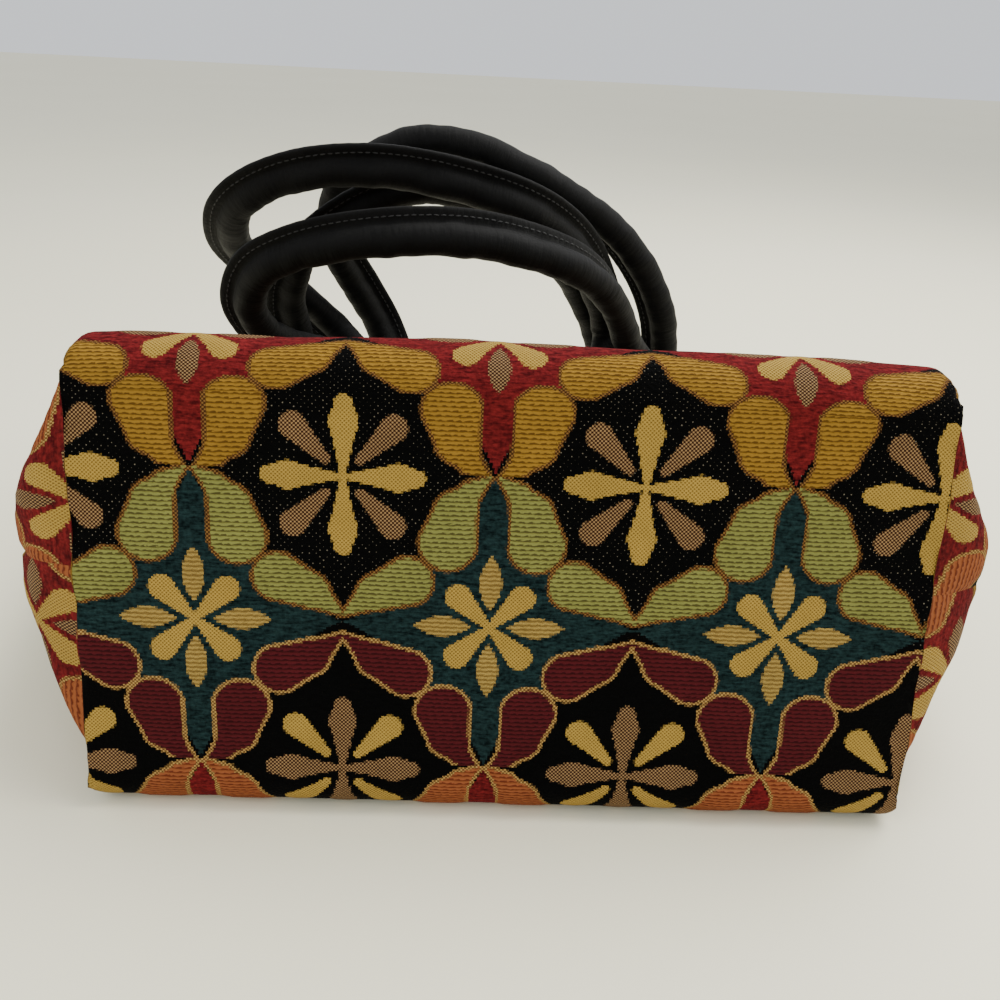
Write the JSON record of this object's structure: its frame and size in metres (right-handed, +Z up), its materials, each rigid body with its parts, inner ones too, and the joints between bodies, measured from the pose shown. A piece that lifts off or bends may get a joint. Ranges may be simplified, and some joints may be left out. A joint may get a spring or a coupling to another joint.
{
  "type": "carpet bag",
  "caption": "Boxed-bottom tapestry carpet bag lying on its back panel, with an open lens-shaped mouth and two pairs of rolled cloth handle strands.",
  "frame": {"origin": "on the underside of the back panel, below the middle of the body's length", "axes": "+X across the bag's width, +Y from the boxed base to the mouth, +Z up, away from the table that the back panel lies on"},
  "size_m": [0.349, 0.3062, 0.1764],
  "materials": {
    "tapestry": "woven jacquard tapestry",
    "lining_cloth": "plain satin lining",
    "facing_cloth": "matte",
    "board": "matte",
    "handle_cloth": "matte",
    "filler_cord": "matte",
    "snap_metal": "satin"
  },
  "bodies": {
    "root": {"tapestry_shell": "tapestry", "lining": "lining_cloth", "mouth_facing": "facing_cloth", "base_board": "board", "lining_pocket": "lining_cloth", "front_handle_low": "handle_cloth", "front_handle_high": "handle_cloth", "back_handle_low": "handle_cloth", "back_handle_high": "handle_cloth", "front_cord_low": "filler_cord", "front_cord_high": "filler_cord", "back_cord_low": "filler_cord", "back_cord_high": "filler_cord", "snap_stud": "snap_metal", "snap_socket": "snap_metal", "stud_washer": "snap_metal", "socket_washer": "snap_metal"}
  },
  "joints": []
}
